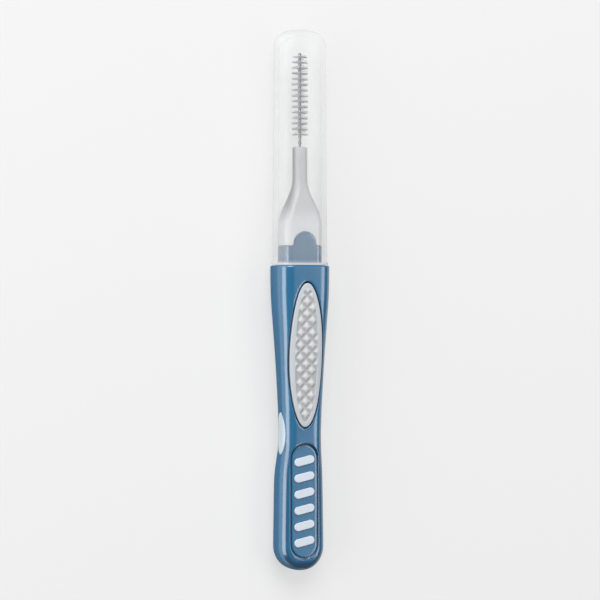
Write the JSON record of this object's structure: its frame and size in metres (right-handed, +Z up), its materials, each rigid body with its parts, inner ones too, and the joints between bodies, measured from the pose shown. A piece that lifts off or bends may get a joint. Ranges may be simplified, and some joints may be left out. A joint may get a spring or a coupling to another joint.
{
  "type": "interdental brush",
  "caption": "Interdental brush with a twisted-wire bristle head on a slim two-colour grip with textured pads, closed by a frosted push-on travel cap.",
  "frame": {"origin": "centre of the closed brush's bounding box in X and Y, on the surface it lies on", "axes": "+Y along the brush towards the bristle tip and the cap's domed end, +Z up through the front pad and the panel, +X across the grip"},
  "size_m": [0.0076, 0.0738, 0.0057],
  "materials": {
    "white_core_plastic": "smooth satin injection-moulded polypropylene",
    "blue_grip_rubber": "soft satin overmoulded elastomer, steel blue",
    "grey_pad_rubber": "light grey soft pad with raised diamonds",
    "white_mark_plastic": "smooth white raised bars",
    "stainless_wire": "drawn stainless wire, twisted",
    "white_nylon": "fine translucent white filaments",
    "frosted_cap_plastic": "thin translucent polypropylene, milky, glossy outside"
  },
  "bodies": {
    "handle": {"handle_core": "white_core_plastic", "grip_shell": "blue_grip_rubber", "front_grip_pad": "grey_pad_rubber", "rear_grip_pad": "grey_pad_rubber", "panel_marks": "white_mark_plastic", "twisted_wire": "stainless_wire", "bristles": "white_nylon"},
    "cap": {"cap": "frosted_cap_plastic"}
  },
  "joints": [
    {"name": "cap_slide", "type": "slide", "parent": "handle", "child": "cap", "axis": [0, 1, 0], "range_m": [0, 0.032]}
  ]
}
